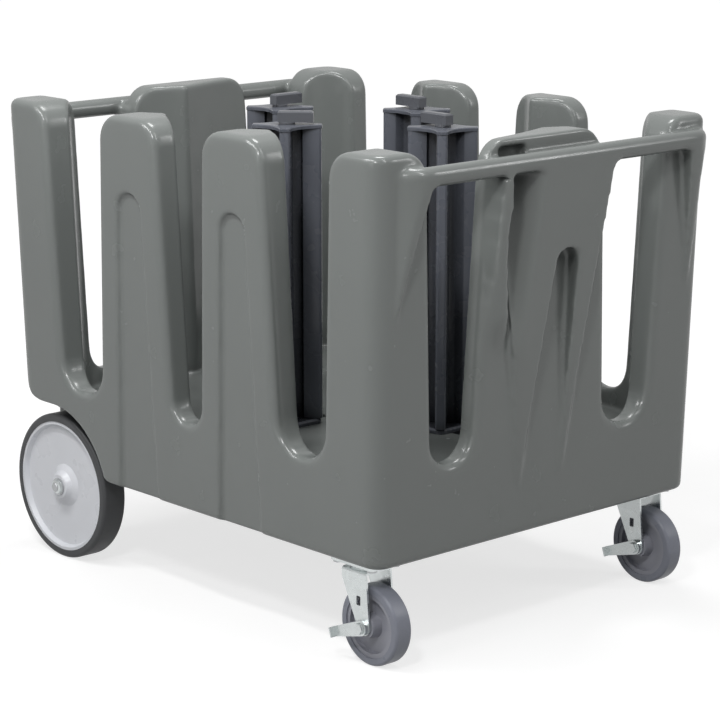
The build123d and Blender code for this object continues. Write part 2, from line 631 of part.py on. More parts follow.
def brake():
    """The side brake about the wheel bolt: its cam, and the foot lever that turns it."""
    near = FORK_INNER_WIDTH / 2 + FORK_PLATE + BRAKE_GAP
    lever_near = near + BRAKE_CAM_THICKNESS
    eye = Circle(BRAKE_CAM_RADIUS)
    bore = Circle(CASTER_BOLT_RADIUS + PIN_FIT)
    cam = extrude(Plane.XZ.offset(near) * (eye - bore), BRAKE_CAM_THICKNESS)
    tip = Pos(LEVER_TIP_RADIUS - LEVER_LENGTH, 0) * Circle(LEVER_TIP_RADIUS)
    droop = Rot(0, 0, LEVER_DROOP)
    arm = droop * (make_hull(eye.edges() + tip.edges()) - bore)
    lever = extrude(Plane.XZ.offset(lever_near) * arm, LEVER_PLATE)
    lip = Pos(LEVER_TIP_RADIUS - LEVER_LENGTH, 0) * Rectangle(LEVER_LIP_THICKNESS, 2 * LEVER_TIP_RADIUS)
    lever += extrude(Plane.XZ.offset(lever_near) * (droop * lip), LEVER_PLATE + LEVER_LIP)
    return {"brake_lever": lever, "brake_cam": cam}


def caster():
    """Everything that swings about one kingpin."""
    half_race = (RACE_HEIGHT - RACE_GAP) / 2
    crown = BODY_BOTTOM - CASTER_PLATE_THICKNESS - RACE_HEIGHT
    race = Pos(0, 0, crown) * Cone(RACE_RADIUS, RACE_RADIUS - 3, half_race,
                                   align=(Align.CENTER, Align.CENTER, Align.MIN))
    race -= Pos(0, 0, crown) * Cylinder(KINGPIN_RADIUS + PIN_FIT, 4 * half_race)
    hub = Pos(CASTER_TRAIL, 0, CASTER_RADIUS)
    fork_half = FORK_INNER_WIDTH / 2 + FORK_PLATE
    head = fork_half + BRAKE_GAP + BRAKE_CAM_THICKNESS + LEVER_PLATE + BOLT_HEAD_GAP
    tail = fork_half + NUT_HEIGHT + 1
    hexagon = RegularPolygon(BOLT_HEAD_RADIUS, 6)
    bolt = extrude(Plane.XZ.offset(-tail) * Circle(CASTER_BOLT_RADIUS), tail + head)
    bolt += extrude(Plane.XZ.offset(head) * hexagon, BOLT_HEAD_HEIGHT)
    nut = Pos(0, fork_half, 0) * extrude(Plane.XZ * hexagon, -NUT_HEIGHT)
    nut -= Rot(90, 0, 0) * Cylinder(CASTER_BOLT_RADIUS, 100)
    half_hub = CASTER_HUB_WIDTH / 2
    half_rim = CASTER_RIM_WIDTH / 2
    half_web = CASTER_WEB_WIDTH / 2
    bore = CASTER_BOLT_RADIUS + PIN_FIT
    core = turned_ring([
        (bore, -half_hub), (CASTER_HUB_RADIUS, -half_hub), (CASTER_HUB_RADIUS + 3, -half_web),
        (CASTER_RIM_RADIUS, -half_web), (CASTER_RIM_RADIUS, -half_rim),
        (CASTER_CORE_RADIUS, -half_rim), (CASTER_CORE_RADIUS, half_rim),
        (CASTER_RIM_RADIUS, half_rim), (CASTER_RIM_RADIUS, half_web),
        (CASTER_HUB_RADIUS + 3, half_web), (CASTER_HUB_RADIUS, half_hub), (bore, half_hub)])
    half = CASTER_WIDTH / 2
    tread = turned_ring([
        (CASTER_CORE_RADIUS, -half), (CASTER_RADIUS, -half), (CASTER_RADIUS, half),
        (CASTER_CORE_RADIUS, half)])
    tread_edges = [e for e in tread.edges().filter_by(GeomType.CIRCLE)
                   if abs(e.radius - CASTER_RADIUS) < 0.01]
    tread = fillet(tread_edges, 5)
    on_bolt = {"bolt": bolt, "nut": nut, "core": core, "tread": tread, **brake()}
    return {"fork": fork(), "race": race, **{name: hub * piece for name, piece in on_bolt.items()}}


def tower():
    """Column, cap, rod and turning handle of one dividing tower, about its axis."""
    base = DECK_HEIGHT + SLIDE_GAP + FOOT_HEIGHT
    bore = ROD_RADIUS + ROD_FIT
    star = Rectangle(2 * TOWER_REACH, TOWER_ARM) + Rectangle(TOWER_ARM, 2 * TOWER_REACH)
    waist = [v for v in star.vertices() if abs(v.X) < TOWER_ARM and abs(v.Y) < TOWER_ARM]
    star = fillet(waist, TOWER_FILLET)
    tips = [v for v in star.vertices() if max(abs(v.X), abs(v.Y)) > TOWER_REACH - 1]
    star = Rot(0, 0, 45) * (fillet(tips, 4) - Circle(bore))
    column = Pos(0, 0, base) * extrude(star, TOWER_TOP - base)

    tip = TOWER_REACH + 1
    half_tip = CAP_TIP_WIDTH / 2
    waist_xy = CAP_WAIST * cos(pi / 4)
    quarter = [Line((tip, -half_tip), (tip, half_tip)),
               ThreePointArc((tip, half_tip), (waist_xy, waist_xy), (half_tip, tip))]
    ring = [Rot(0, 0, turn) * edge for turn in (0, 90, 180, 270) for edge in quarter]
    outline = make_face(ring)
    outline = fillet(outline.vertices(), 3)
    cap = extrude(Rot(0, 0, 45) * (outline - Circle(bore)), CAP_HEIGHT)
    cap = Pos(0, 0, TOWER_TOP) * chamfer(cap.faces().sort_by(Axis.Z)[-1].outer_wire().edges(), 1.5)

    key_z = TOWER_TOP + CAP_HEIGHT + KEY_GAP
    bar = Pos(KEY_OFFSET, 0, COLLAR_HEIGHT) * Box(KEY_LENGTH, KEY_WIDTH, KEY_HEIGHT,
                                                  align=(Align.CENTER, Align.CENTER, Align.MIN))
    bar = chamfer(bar.edges().group_by(Axis.Z)[-1], KEY_CHAMFER)
    key = bar + Cylinder(COLLAR_RADIUS, COLLAR_HEIGHT, align=(Align.CENTER, Align.CENTER, Align.MIN))
    cam_z = DECK_HEIGHT - TRACK_DEPTH + CAM_FLOOR_GAP
    rod = Pos(0, 0, cam_z + CAM_HEIGHT) * Cylinder(ROD_RADIUS, key_z - cam_z - CAM_HEIGHT,
                                                   align=(Align.CENTER, Align.CENTER, Align.MIN))
    cam = Pos(0, 0, cam_z) * extrude(Ellipse(CAM_LENGTH / 2, CAM_WIDTH / 2), CAM_HEIGHT)
    foot = extrude(RectangleRounded(FOOT_SIZE, FOOT_SIZE, 14), FOOT_HEIGHT)
    foot = chamfer(foot.edges().group_by(Axis.Z)[-1], 3)
    tongue = Box(TONGUE_LENGTH, TRACK_WIDTH - 2 * TONGUE_FIT, TONGUE_DEPTH + 1,
                 align=(Align.CENTER, Align.CENTER, Align.MIN))
    for side in (-TONGUE_OFFSET, TONGUE_OFFSET):
        foot += Pos(side, 0, -TONGUE_DEPTH) * tongue
    foot -= Cylinder(bore, 60)
    foot = Pos(0, 0, DECK_HEIGHT + SLIDE_GAP) * foot
    return {"column": column, "cap": cap, "key": Pos(0, 0, key_z) * key, "rod": rod,
            "cam": cam, "foot": foot}


def assemble():
    """Every node of the cart, in place."""
    nodes = {"body_moulding": body_moulding()}
    axle = Pos(WHEEL_X, 0, WHEEL_RADIUS)
    for name, shape in {**rear_axle(), **axle_brackets()}.items():
        nodes[name] = axle * shape
    for name, shape in rear_wheel().items():
        nodes[f"rear_{name}_left"] = axle * shape
        nodes[f"rear_{name}_right"] = axle * mirror(shape, about=Plane.XZ)

    mount, bolts = caster_mount()
    swing = caster()
    all_bolts = []
    for label, y in (("left", CASTER_Y), ("right", -CASTER_Y)):
        kingpin = Pos(CASTER_X, y, 0)
        for name, shape in {**mount, **swing}.items():
            nodes[f"caster_{name}_{label}"] = kingpin * shape
        all_bolts += [kingpin * bolt for bolt in bolts.children]
    nodes["caster_plate_bolts"] = Compound(children=all_bolts)
    for screw in nodes["bracket_screws"].solids() + nodes["caster_plate_bolts"].solids():
        nodes["body_moulding"] -= screw

    for label, ((x, y), direction, _, pointing) in towers().items():
        for name, shape in tower().items():
            turn = {"foot": direction, "cam": direction + 90, "key": pointing}.get(name, 0)
            nodes[f"tower_{name}_{label}"] = Pos(x, y, 0) * Rot(0, 0, turn) * shape
    return nodes


if __name__ == "__main__":
    os.makedirs("parts", exist_ok=True)
    for name, shape in assemble().items():
        export_step(shape, f"parts/{name}.step")
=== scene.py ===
import math

import bmesh
import bpy
from mathutils import Matrix, Vector


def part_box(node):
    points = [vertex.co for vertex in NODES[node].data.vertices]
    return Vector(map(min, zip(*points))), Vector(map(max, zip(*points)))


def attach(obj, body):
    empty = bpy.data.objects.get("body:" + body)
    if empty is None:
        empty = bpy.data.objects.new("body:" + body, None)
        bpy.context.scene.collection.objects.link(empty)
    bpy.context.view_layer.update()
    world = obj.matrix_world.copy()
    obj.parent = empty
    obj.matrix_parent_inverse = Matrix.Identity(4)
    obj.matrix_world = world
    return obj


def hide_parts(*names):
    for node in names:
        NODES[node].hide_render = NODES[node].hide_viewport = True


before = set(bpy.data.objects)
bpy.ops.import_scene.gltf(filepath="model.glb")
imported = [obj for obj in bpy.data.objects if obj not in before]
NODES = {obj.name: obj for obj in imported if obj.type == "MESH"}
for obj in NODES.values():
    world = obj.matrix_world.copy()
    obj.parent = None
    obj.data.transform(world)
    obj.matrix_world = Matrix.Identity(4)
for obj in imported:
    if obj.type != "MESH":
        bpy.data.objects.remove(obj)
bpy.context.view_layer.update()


# ------------------------------------------------------------------ camera
AZIMUTH = math.radians(47.717)
ELEVATION = math.radians(12.981)
CAMERA_PLACE = (3.15696, -2.84717, 1.34049)
LENS = 128.67
SENSOR = 36.0
CLIP_START, CLIP_END = 0.1, 60


def make_camera():
    """The camera at the photograph's viewing angle."""
    data = bpy.data.cameras.new("camera")
    data.lens = LENS
    data.sensor_width = SENSOR
    data.clip_start = CLIP_START
    data.clip_end = CLIP_END
    camera = bpy.data.objects.new("camera", data)
    bpy.context.scene.collection.objects.link(camera)
    right = Vector((math.cos(AZIMUTH), math.sin(AZIMUTH), 0))
    back = Vector((math.sin(AZIMUTH) * math.cos(ELEVATION),
                   -math.cos(AZIMUTH) * math.cos(ELEVATION), math.sin(ELEVATION)))
    up = back.cross(right)
    turn = Matrix((right, up, back)).transposed().to_4x4()
    camera.matrix_world = Matrix.Translation(CAMERA_PLACE) @ turn
    bpy.context.scene.camera = camera


# ------------------------------------------------------------------ material nodes
MIDDLE = (0.3, 0.7)                   # most of a noise's values lie between these

# moulded plastic
CLOUDS = {"scale": 5.0, "detail": 3.0, "rough": 0.55}
SPECKS = {"scale": 420.0, "rough": 0.6}
SPECK_RANGE, SPECK_SHARE, SPECK_GAIN = (0.35, 0.75), 0.04, 1.22
SCUFFS = {"scale": 7.0, "detail": 5.0, "rough": 0.7}
SCUFF_STRETCH, SCUFF_TURN = (4.0, 4.0, 70.0), (0.35, 0.2, 0.1)
SCUFF_RANGE, SCUFF_SHARE, SCUFF_GAIN, SCUFF_ROUGH = (0.66, 0.74), 0.012, 1.5, 0.6
SHINE_PATCHES = {"scale": 22.0, "detail": 3.0}
SHINE_SPREAD = 0.05
WAVES = {"scale": 9.0, "detail": 1.0, "rough": 0.4}
WAVE_STRENGTH = 0.5
PEEL = {"scale": 900.0}
PEEL_STRENGTH, PEEL_DEPTH = 0.35, 0.00004
# painted shade: the occlusion range that is darkened, the darkest colour and the samples, for creases and
# channels
CREASE_SHADE_RANGE, CREASE_SHADE_GAIN, CREASE_SHADE_SAMPLES = (0.35, 0.78), 0.12, 6

# rubber
DUST = {"scale": 18.0, "detail": 5.0, "rough": 0.65}
DUST_RANGE, DUST_SHARE, DUST_GAIN = (0.45, 0.75), 0.30, 1.35
PITS = {"scale": 650.0, "detail": 3.0, "rough": 0.6}
PIT_SHARE, PIT_GAIN, PIT_STRENGTH, PIT_DEPTH = 0.25, 0.8, 0.4, 0.0002
RUB = {"scale": 40.0, "detail": 3.0}
RUB_POLISH, RUB_DULL = 0.06, 0.08
RUBBER_SPECULAR = 0.4

# plated steel
SPANGLE_SHARE, SPANGLE_GAIN = 0.5, 0.84
TARNISH = {"scale": 30.0, "detail": 4.0, "rough": 0.6}
TARNISH_SHARE, TARNISH_GAIN = 0.35, 0.78
DRAWN_LINES = {"scale": 60.0, "rough": 0.6}
DRAWN_STRETCH, DRAWN_STRENGTH = (1.0, 1.0, 30.0), 0.25
DIMPLES = {"scale": 260.0}
DIMPLE_STRENGTH, STEEL_DEPTH = 0.2, 0.00008
STEEL_POLISH, STEEL_DULL = 0.07, 0.08


def linear(colour):
    """0-255 screen values as the linear colour that shows as them."""
    parts = []
    for value in colour:
        v = value / 255
        parts.append(v / 12.92 if v <= 0.04045 else ((v + 0.055) / 1.055) ** 2.4)
    return (*parts, 1.0)


def scaled(colour, factor):
    return (*[min(1.0, c * factor) for c in colour[:3]], 1.0)


class Shader:
    """A material whose nodes are added one call at a time."""

    def __init__(self, name):
        self.material = bpy.data.materials.new(name)
        self.material.use_nodes = True
        self.tree = self.material.node_tree
        self.tree.nodes.clear()
        self.out = self.tree.nodes.new("ShaderNodeOutputMaterial")
        self.bsdf = self.tree.nodes.new("ShaderNodeBsdfPrincipled")
        self.link(self.bsdf.outputs[0], self.out.inputs["Surface"])
        self.coords = self.tree.nodes.new("ShaderNodeTexCoord").outputs["Object"]
        self.height = None

    def link(self, source, target):
        self.tree.links.new(source, target)

    def feed(self, socket, value):
        """A socket gets a link where value is another node's output, or a plain value."""
        if isinstance(value, bpy.types.NodeSocket):
            self.link(value, socket)
        else:
            socket.default_value = value

    def stretched(self, scale, turn=(0, 0, 0)):
        node = self.tree.nodes.new("ShaderNodeMapping")
        node.inputs["Scale"].default_value = scale
        node.inputs["Rotation"].default_value = turn
        self.link(self.coords, node.inputs["Vector"])
        return node.outputs[0]

    def noise(self, scale, detail=2.0, rough=0.5, vector=None):
        node = self.tree.nodes.new("ShaderNodeTexNoise")
        node.inputs["Scale"].default_value = scale
        node.inputs["Detail"].default_value = detail
        node.inputs["Roughness"].default_value = rough
        self.link(vector or self.coords, node.inputs["Vector"])
        return node.outputs["Fac"]

    def cells(self, scale):
        """Two random values for each cell of a crystal pattern."""
        pattern = self.tree.nodes.new("ShaderNodeTexVoronoi")
        pattern.inputs["Scale"].default_value = scale
        self.link(self.coords, pattern.inputs["Vector"])
        values = self.tree.nodes.new("ShaderNodeSeparateColor")
        self.link(pattern.outputs["Color"], values.inputs[0])
        return values.outputs[0], values.outputs[1]

    def remap(self, value, low, high, to_low, to_high):
        node = self.tree.nodes.new("ShaderNodeMapRange")
        self.feed(node.inputs["Value"], value)
        node.inputs["From Min"].default_value = low
        node.inputs["From Max"].default_value = high
        node.inputs["To Min"].default_value = to_low
        node.inputs["To Max"].default_value = to_high
        return node.outputs[0]

    def math(self, kind, a, b):
        node = self.tree.nodes.new("ShaderNodeMath")
        node.operation = kind
        self.feed(node.inputs[0], a)
        self.feed(node.inputs[1], b)
        return node.outputs[0]

    def mix(self, factor, a, b):
        node = self.tree.nodes.new("ShaderNodeMix")
        node.data_type = "RGBA"
        self.feed(node.inputs["Factor"], factor)
        self.feed(node.inputs[6], a)
        self.feed(node.inputs[7], b)
        return node.outputs[2]

    def bump(self, height, strength, distance):
        node = self.tree.nodes.new("ShaderNodeBump")
        node.inputs["Strength"].default_value = strength
        node.inputs["Distance"].default_value = distance
        self.link(height, node.inputs["Height"])
        if self.height is not None:
            self.link(self.height, node.inputs["Normal"])
        self.height = node.outputs[0]

    def painted_crease_shade(self, reach, share):
        """Painted shade: up to share of darkening in deep grooves and channels, 0 in the open."""
        node = self.tree.nodes.new("ShaderNodeAmbientOcclusion")
        node.samples = CREASE_SHADE_SAMPLES
        node.inputs["Distance"].default_value = reach
        return self.remap(node.outputs["AO"], *CREASE_SHADE_RANGE, share, 0.0)

    def finish(self, colour, rough, **constants):
        self.feed(self.bsdf.inputs["Base Color"], colour)
        self.feed(self.bsdf.inputs["Roughness"], rough)
        for name, value in constants.items():
            self.bsdf.inputs[name.replace("_", " ")].default_value = value
        if self.height is not None:
            self.link(self.height, self.bsdf.inputs["Normal"])
        return self.material


def moulded(name, colour, rough, mottle=0.03, wave=0.0006, specular=0.5, painted_shade=None):
    """Moulded plastic: mottled colour, fine peel, faint waviness, light scuffs, and painted shade in the
    grooves.
    """
    s = Shader(name)
    base = linear(colour)
    cloud = s.remap(s.noise(**CLOUDS), *MIDDLE, 0.0, 1.0)
    tint = s.mix(cloud, scaled(base, 1 - mottle), scaled(base, 1 + mottle))
    speck = s.remap(s.noise(**SPECKS), *SPECK_RANGE, 0.0, SPECK_SHARE)
    tint = s.mix(speck, tint, scaled(base, SPECK_GAIN))
    scratch = s.noise(**SCUFFS, vector=s.stretched(SCUFF_STRETCH, SCUFF_TURN))
    worn = s.remap(scratch, *SCUFF_RANGE, 0.0, SCUFF_SHARE)
    tint = s.mix(worn, tint, scaled(base, SCUFF_GAIN))
    shine = s.remap(s.noise(**SHINE_PATCHES), *MIDDLE, rough - SHINE_SPREAD, rough + SHINE_SPREAD)
    shine = s.math("ADD", shine, s.math("MULTIPLY", worn, SCUFF_ROUGH))
    s.bump(s.noise(**WAVES), WAVE_STRENGTH, wave)
    s.bump(s.noise(**PEEL), PEEL_STRENGTH, PEEL_DEPTH)
    # painted shade: the colour is darkened in grooves and channels where little light reaches
    if painted_shade:
        tint = s.mix(s.painted_crease_shade(*painted_shade), tint, scaled(base, CREASE_SHADE_GAIN))
    return s.finish(tint, shine, Specular_IOR_Level=specular)


def rubber(name, colour, rough):
    """Soft tyre rubber: matt, finely pitted, dusted paler in patches."""
    s = Shader(name)
    base = linear(colour)
    dust = s.remap(s.noise(**DUST), *DUST_RANGE, 0.0, DUST_SHARE)
    tint = s.mix(dust, base, scaled(base, DUST_GAIN))
    pits = s.noise(**PITS)
    tint = s.mix(s.remap(pits, *MIDDLE, 0.0, PIT_SHARE), tint, scaled(base, PIT_GAIN))
    shine = s.remap(s.noise(**RUB), *MIDDLE, rough - RUB_POLISH, rough + RUB_DULL)
    s.bump(pits, PIT_STRENGTH, PIT_DEPTH)
    return s.finish(tint, shine, Specular_IOR_Level=RUBBER_SPECULAR)


def plated(name, colour, rough, spangle, brushed):
    """Zinc-plated steel: cloudy spangle, fine drawing lines, slight tarnish in patches."""
    s = Shader(name)
    base = linear(colour)
    shade, gloss = s.cells(spangle)
    tint = s.mix(s.math("MULTIPLY", shade, SPANGLE_SHARE), base, scaled(base, SPANGLE_GAIN))
    cloud = s.remap(s.noise(**TARNISH), *MIDDLE, 0.0, 1.0)
    tint = s.mix(s.math("MULTIPLY", cloud, TARNISH_SHARE), tint, scaled(base, TARNISH_GAIN))
    lines = s.noise(**DRAWN_LINES, vector=s.stretched(DRAWN_STRETCH))
    shine = s.remap(gloss, 0.0, 1.0, rough - STEEL_POLISH, rough + STEEL_DULL)
    shine = s.math("ADD", shine, s.math("MULTIPLY", lines, brushed))
    s.bump(lines, DRAWN_STRENGTH, STEEL_DEPTH)
    s.bump(s.noise(**DIMPLES), DIMPLE_STRENGTH, STEEL_DEPTH)
    return s.finish(tint, shine, Metallic=1.0)


# ------------------------------------------------------------------ stage and light
FLOOR_HALF = 30.0
FLOOR_PAPER = (0.38, 0.40)            # darkest and lightest reflectance of the floor
FLOOR_GRAIN = 3.0
FLOOR_GLOW = (0.72, 0.94)             # near the cart, and from FLOOR_FAR outwards
FLOOR_NEAR, FLOOR_FAR = 0.8, 2.4
GLOSSY_SHARE = 0.7                    # of the white background, in reflections
WORLD_FILL = 0.22
WORLD_WHITE = 1.0
CART_MIDDLE = (0, 0, 0.5)
LAMPS = [                             # name, place, what it faces, width and height, watts
    ("key", (-1.0, -2.2, 2.4), CART_MIDDLE, (0.5, 0.5), 6.0),
    ("strip", (1.0, -3.6, 1.5), CART_MIDDLE, (0.25, 2.2), 10.0),
    ("front", (1.5, -2.1, 2.4), CART_MIDDLE, (0.35, 0.35), 24.0),
    ("side_bar", (-0.05, -1.2, 1.95), (-0.05, -0.3, 0.7), (1.5, 0.15), 17.0),
    ("end_bar", (1.4, -0.15, 1.95), (0.4, -0.05, 0.6), (0.15, 1.1), 6.0),
    ("rim", (2.8, 2.6, 2.2), CART_MIDDLE, (0.4, 1.4), 20.0),
    ("top", (-0.3, 0.6, 3.2), CART_MIDDLE, (0.8, 0.8), 30.0),
]


def grey(level):
    return (level, level, level, 1)


def floor_paper():
    """Paper that takes the cart's shadow and otherwise shows near white."""
    s = Shader("floor_paper")
    s.tree.nodes.remove(s.bsdf)
    diffuse = s.tree.nodes.new("ShaderNodeBsdfDiffuse")
    grain = s.remap(s.noise(FLOOR_GRAIN), *MIDDLE, 0.0, 1.0)
    dark, light = FLOOR_PAPER
    s.link(s.mix(grain, grey(dark), grey(light)), diffuse.inputs["Color"])
    glow = s.tree.nodes.new("ShaderNodeEmission")
    path = s.tree.nodes.new("ShaderNodeLightPath")
    seen = s.math("MAXIMUM", path.outputs["Is Camera Ray"],
                  s.math("MULTIPLY", path.outputs["Is Glossy Ray"], GLOSSY_SHARE))
    away = s.tree.nodes.new("ShaderNodeVectorMath")
    away.operation = "LENGTH"
    s.link(s.coords, away.inputs[0])
    level = s.remap(away.outputs["Value"], FLOOR_NEAR, FLOOR_FAR, *FLOOR_GLOW)
    s.link(s.math("MULTIPLY", seen, level), glow.inputs["Strength"])
    both = s.tree.nodes.new("ShaderNodeAddShader")
    s.link(diffuse.outputs[0], both.inputs[0])
    s.link(glow.outputs[0], both.inputs[1])
    s.link(both.outputs[0], s.out.inputs["Surface"])
    return s.material


def make_floor():
    mesh = bpy.data.meshes.new("floor")
    corners = [(x * FLOOR_HALF, y * FLOOR_HALF, 0) for x, y in ((-1, -1), (1, -1), (1, 1), (-1, 1))]
    mesh.from_pydata(corners, [], [(0, 1, 2, 3)])
    mesh.materials.append(floor_paper())
    floor = bpy.data.objects.new("floor", mesh)
    bpy.context.scene.collection.objects.link(floor)


def make_world():
    """White where the camera or a reflection sees it, and a soft fill light otherwise."""
    world = bpy.data.worlds.new("studio")
    bpy.context.scene.world = world
    world.use_nodes = True
    tree = world.node_tree
    tree.nodes.clear()
    out = tree.nodes.new("ShaderNodeOutputWorld")
    back = tree.nodes.new("ShaderNodeBackground")
    path = tree.nodes.new("ShaderNodeLightPath")
    spread = tree.nodes.new("ShaderNodeMapRange")
    spread.inputs["To Min"].default_value = WORLD_FILL
    spread.inputs["To Max"].default_value = WORLD_WHITE
    glossy = tree.nodes.new("ShaderNodeMath")
    glossy.operation = "MULTIPLY"
    glossy.inputs[1].default_value = GLOSSY_SHARE
    seen = tree.nodes.new("ShaderNodeMath")
    seen.operation = "MAXIMUM"
    tree.links.new(path.outputs["Is Glossy Ray"], glossy.inputs[0])
    tree.links.new(path.outputs["Is Camera Ray"], seen.inputs[0])
    tree.links.new(glossy.outputs[0], seen.inputs[1])
    tree.links.new(seen.outputs[0], spread.inputs["Value"])
    tree.links.new(spread.outputs[0], back.inputs["Strength"])
    tree.links.new(back.outputs[0], out.inputs["Surface"])


def make_lamps():
    for name, place, aim, size, power in LAMPS:
        data = bpy.data.lights.new(name, "AREA")
        data.shape = "RECTANGLE"
        data.size, data.size_y = size
        data.energy = power
        lamp = bpy.data.objects.new(name, data)
        lamp.location = place
        lamp.rotation_euler = (Vector(aim) - Vector(place)).to_track_quat("-Z", "Y").to_euler()
        bpy.context.scene.collection.objects.link(lamp)


def make_stage():
    """A plain pale floor and soft studio light."""
    make_floor()
    make_world()
    make_lamps()
    bpy.context.scene.view_settings.view_transform = "Standard"


# ------------------------------------------------------------------ dress the CAD nodes
def paint(material, *starts):
    """Give a material to every CAD node whose name starts with one of the words."""
    for name, obj in NODES.items():
        if name.startswith(starts):
            obj.data.materials.clear()
            obj.data.materials.append(material)


def dress():
    """Materials for all nodes; gives back those of the body and the towers."""
    # the last pair of each: reach and share of the painted shade darkening creases and channels
    body = moulded("body_plastic", (119, 123, 121), 0.23, mottle=0.02, wave=0.0005, painted_shade=(0.07, 0.55))
    tower = moulded("tower_plastic", (90, 93, 101), 0.26, specular=0.35, painted_shade=(0.045, 0.92))
    key = moulded("key_plastic", (92, 94, 99), 0.28)
    disc = moulded("disc_plastic", (226, 228, 233), 0.30, mottle=0.015)
    core = moulded("core_plastic", (150, 151, 160), 0.34)
    bushing = moulded("bushing_plastic", (215, 214, 208), 0.42)
    tyre = rubber("tyre_rubber", (70, 71, 73), 0.46)
    tread = rubber("tread_rubber", (136, 139, 150), 0.32)
    zinc = plated("zinc_steel", (225, 230, 230), 0.24, spangle=90.0, brushed=0.08)
    steel = plated("steel", (188, 190, 192), 0.30, spangle=200.0, brushed=0.15)
    paint(body, "body_moulding")
    paint(tower, "tower_column", "tower_foot", "tower_cap")
    paint(key, "tower_key", "tower_cam")
    paint(disc, "rear_disc")
    paint(core, "caster_core")
    paint(bushing, "rear_bushing")
    paint(tyre, "rear_tyre")
    paint(tread, "caster_tread")
    paint(zinc, "caster_plate", "caster_fork", "caster_race", "caster_brake", "caster_kingpin",
          "axle_brackets", "axle_push_nuts", "caster_bolt", "caster_nut", "bracket_screws")
    paint(steel, "rear_axle", "axle_washers", "tower_rod", "caster_plate_bolts")
    return body, tower


# ------------------------------------------------------------------ body moulding
# Heights are from the floor, X from the middle towards an end, and Y across, as at the +X end.
VOXEL = 0.003
SOFTEN = 0.5                          # how far each smoothing pass moves a point
BODY_PASSES = 8
WEB_PASSES = 8                        # and as many again under the handles
WEB_FROM_X, WEB_LOW, WEB_HIGH = 0.425, 0.235, 0.775
WEB_FADE_X, WEB_FADE_LOW, WEB_FADE_HIGH = 0.015, 0.05, 0.02

WALL_HALF = 0.4525                    # the end wall's outside, at its foot
WALL_LEAN = math.tan(math.radians(1.3))
WALL_FOOT = 0.164
WALL_SKIN = 0.002                     # what lies this near the wall's outside belongs to it

FACE_TOP, FACE_LEAN, FACE_TOP_Z = 0.4935, 0.0803, 0.730
GROOVE_FILL = ((-0.109, 0.740), (-0.068, 0.448), (-0.056, 0.448), (-0.048, 0.740))   # Y and Z
GROOVE_BACK = 0.440
SCOOP_FILL = ((-0.109, 0.757), (-0.068, 0.448), (-0.056, 0.448), (-0.048, 0.757))
SCOOP_OUT = 0.470
VALLEY = [                            # Z; left edge, floor's left and right, right edge in Y; floor in X
    (0.742, -0.111, -0.098, -0.084, -0.034, 0.443),
    (0.630, -0.109, -0.096, -0.090, -0.044, 0.449),
    (0.520, -0.099, -0.088, -0.084, -0.060, 0.467),
    (0.455, -0.090, -0.082, -0.080, -0.070, 0.474),
]
LEG_BAND = 0.019                      # the leg's face beside the valley
LEG_FLANK = 0.028                     # its side, down to the wall
LEG_FADE = (0.455, 0.53)              # the leg's ridge rises from the wall between these heights

EASE_START, EASE_END = 0.322, 0.350   # the far corner web's width in Y
EASE_TOP, EASE_FADE, EASE_SHARE = 0.742, 0.05, 0.85

TOE_RADIUS = 0.060
TOE_REACH = 0.076                     # height of the corner that the rounding takes in
TOE_END = 0.4530
TOE_FOOT = 0.274
TOE_INNER_Y = 0.285


def bake(piece):
    """Turn a piece's modifiers into its own mesh."""
    graph = bpy.context.evaluated_depsgraph_get()
    mesh = bpy.data.meshes.new_from_object(piece.evaluated_get(graph))
    piece.modifiers.clear()
    piece.data = mesh


def smooth(piece, passes, group=""):
    modifier = piece.modifiers.new("soften", "SMOOTH")
    modifier.factor = SOFTEN
    modifier.iterations = passes
    modifier.vertex_group = group


def step(low, high, value):
    """0 to 1 along an S curve as value goes from low to high."""
    share = min(1.0, max(0.0, (value - low) / (high - low)))
    return share * share * (3 - 2 * share)


def wall_x(z):
    """How far out the end wall stands."""
    return WALL_HALF + (z - WALL_FOOT) * WALL_LEAN


def face_x(z):
    """How far out the centre web's face stands."""
    return FACE_TOP - (FACE_TOP_Z - z) * FACE_LEAN


def fill_groove(mesh):
    """Level the groove with the web's face, for the valley to be shaped in, and its top to a scoop."""
    to_face = [face_x(z) for _, z in GROOVE_FILL]
    to_scoop = [SCOOP_OUT] * len(SCOOP_FILL)
    for turn in (1, -1):
        for outline, outs in ((GROOVE_FILL, to_face), (SCOOP_FILL, to_scoop)):
            back = [mesh.verts.new((turn * GROOVE_BACK, turn * y, z)) for y, z in outline]
            front = [mesh.verts.new((turn * out, turn * y, z)) for out, (y, z) in zip(outs, outline)]
            mesh.faces.new(back)
            mesh.faces.new(front[::-1])
            for i in range(len(outline)):
                j = (i + 1) % len(outline)
                mesh.faces.new((back[i], front[i], front[j], back[j]))


def valley_at(z):
    """The valley's edges and floor at a height, or None above and below it."""
    for upper, lower in zip(VALLEY, VALLEY[1:]):
        if lower[0] <= z <= upper[0]:
            share = (z - lower[0]) / (upper[0] - lower[0])
            return [b + (a - b) * share for a, b in zip(upper[1:], lower[1:])]
    return None


def finger_valley(co):
    """The valley beside the centre web: a steep side, a floor and a long slope, and the leg's ridge."""
    turn = 1 if co.x > 0 else -1
    x, y, z = abs(co.x), co.y * turn, co.z
    place = valley_at(z) if x > GROOVE_BACK else None
    if place is None:
        return co
    left, floor_left, floor_right, right, floor = place
    face = face_x(z)
    band = left - LEG_BAND
    if left < y < right:
        depth = min(step(left, floor_left, y), 1 - step(floor_right, right, y))
        x = min(x, face + (floor - face) * depth)
    elif band - LEG_FLANK < y <= left and x > wall_x(z) - WALL_SKIN:
        rise = step(band - LEG_FLANK, band, y) * step(*LEG_FADE, z)
        x = max(x, wall_x(z) + (face - wall_x(z)) * rise)
    return Vector((turn * x, co.y, z))


